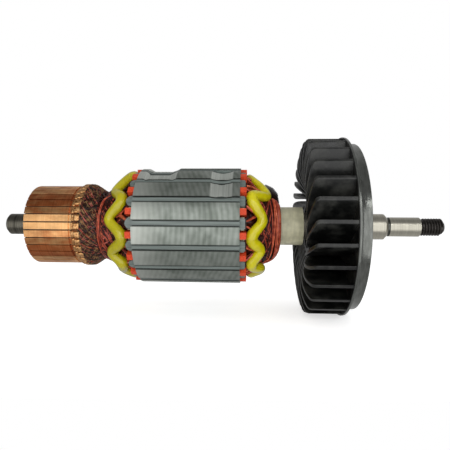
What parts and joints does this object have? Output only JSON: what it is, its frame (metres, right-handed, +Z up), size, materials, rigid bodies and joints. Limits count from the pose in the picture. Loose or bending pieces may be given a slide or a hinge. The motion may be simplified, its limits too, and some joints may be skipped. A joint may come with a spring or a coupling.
{
  "type": "motor armature",
  "caption": "Wound armature of a universal motor for an angle grinder: commutator, slotted core with coils, fan wheel and a shaft with bearing seats, pinion seat and thread.",
  "frame": {"origin": "centre of the front bearing seat, on the shaft's axis", "axes": "+X along the shaft, from the commutator towards the threaded end; +Z up as the armature lies in the picture"},
  "size_m": [0.2078, 0.0826, 0.0826],
  "materials": {
    "shaft_steel": "ground and turned steel, lightly tarnished",
    "glass_fibre": "matte resin-bonded glass fibre",
    "core_steel": "turned lamination stack, thin clear varnish",
    "spider_fibre": "matte orange-red vulcanised fibre",
    "liner_paper": "varnished insulation paper",
    "enamelled_wire": "copper wire in dark red enamel and varnish",
    "phenolic": "dark phenolic moulding",
    "bush_brass": "plain brass",
    "fan_plastic": "charcoal glass-filled nylon, satin",
    "resin_bead": "glossy yellow-green resin, slightly translucent",
    "wedge_plastic": "blue-grey strip, satin with varnish",
    "bar_copper": "turned copper, tarnished from gold to brown"
  },
  "bodies": {
    "root": {"shaft": "shaft_steel", "insulating_sleeve": "glass_fibre", "lamination_stack": "core_steel", "rear_end_spider": "spider_fibre", "front_end_spider": "spider_fibre", "slot_liners": "liner_paper", "winding": "enamelled_wire", "commutator_hub": "phenolic", "commutator_bush": "bush_brass", "fan": "fan_plastic", "rear_bead": "resin_bead", "front_bead": "resin_bead", "slot_wedge_01": "wedge_plastic", "slot_wedge_02": "wedge_plastic", "slot_wedge_03": "wedge_plastic", "slot_wedge_04": "wedge_plastic", "slot_wedge_05": "wedge_plastic", "slot_wedge_06": "wedge_plastic", "slot_wedge_07": "wedge_plastic", "slot_wedge_08": "wedge_plastic", "slot_wedge_09": "wedge_plastic", "slot_wedge_10": "wedge_plastic", "slot_wedge_11": "wedge_plastic", "slot_wedge_12": "wedge_plastic", "slot_wedge_13": "wedge_plastic", "slot_wedge_14": "wedge_plastic", "slot_wedge_15": "wedge_plastic", "slot_wedge_16": "wedge_plastic", "commutator_bar_01": "bar_copper", "commutator_bar_02": "bar_copper", "commutator_bar_03": "bar_copper", "commutator_bar_04": "bar_copper", "commutator_bar_05": "bar_copper", "commutator_bar_06": "bar_copper", "commutator_bar_07": "bar_copper", "commutator_bar_08": "bar_copper", "commutator_bar_09": "bar_copper", "commutator_bar_10": "bar_copper", "commutator_bar_11": "bar_copper", "commutator_bar_12": "bar_copper", "commutator_bar_13": "bar_copper", "commutator_bar_14": "bar_copper", "commutator_bar_15": "bar_copper", "commutator_bar_16": "bar_copper", "commutator_bar_17": "bar_copper", "commutator_bar_18": "bar_copper", "commutator_bar_19": "bar_copper", "commutator_bar_20": "bar_copper", "commutator_bar_21": "bar_copper", "commutator_bar_22": "bar_copper", "commutator_bar_23": "bar_copper", "commutator_bar_24": "bar_copper", "commutator_bar_25": "bar_copper", "commutator_bar_26": "bar_copper", "commutator_bar_27": "bar_copper", "commutator_bar_28": "bar_copper", "commutator_bar_29": "bar_copper", "commutator_bar_30": "bar_copper", "commutator_bar_31": "bar_copper", "commutator_bar_32": "bar_copper"}
  },
  "joints": []
}
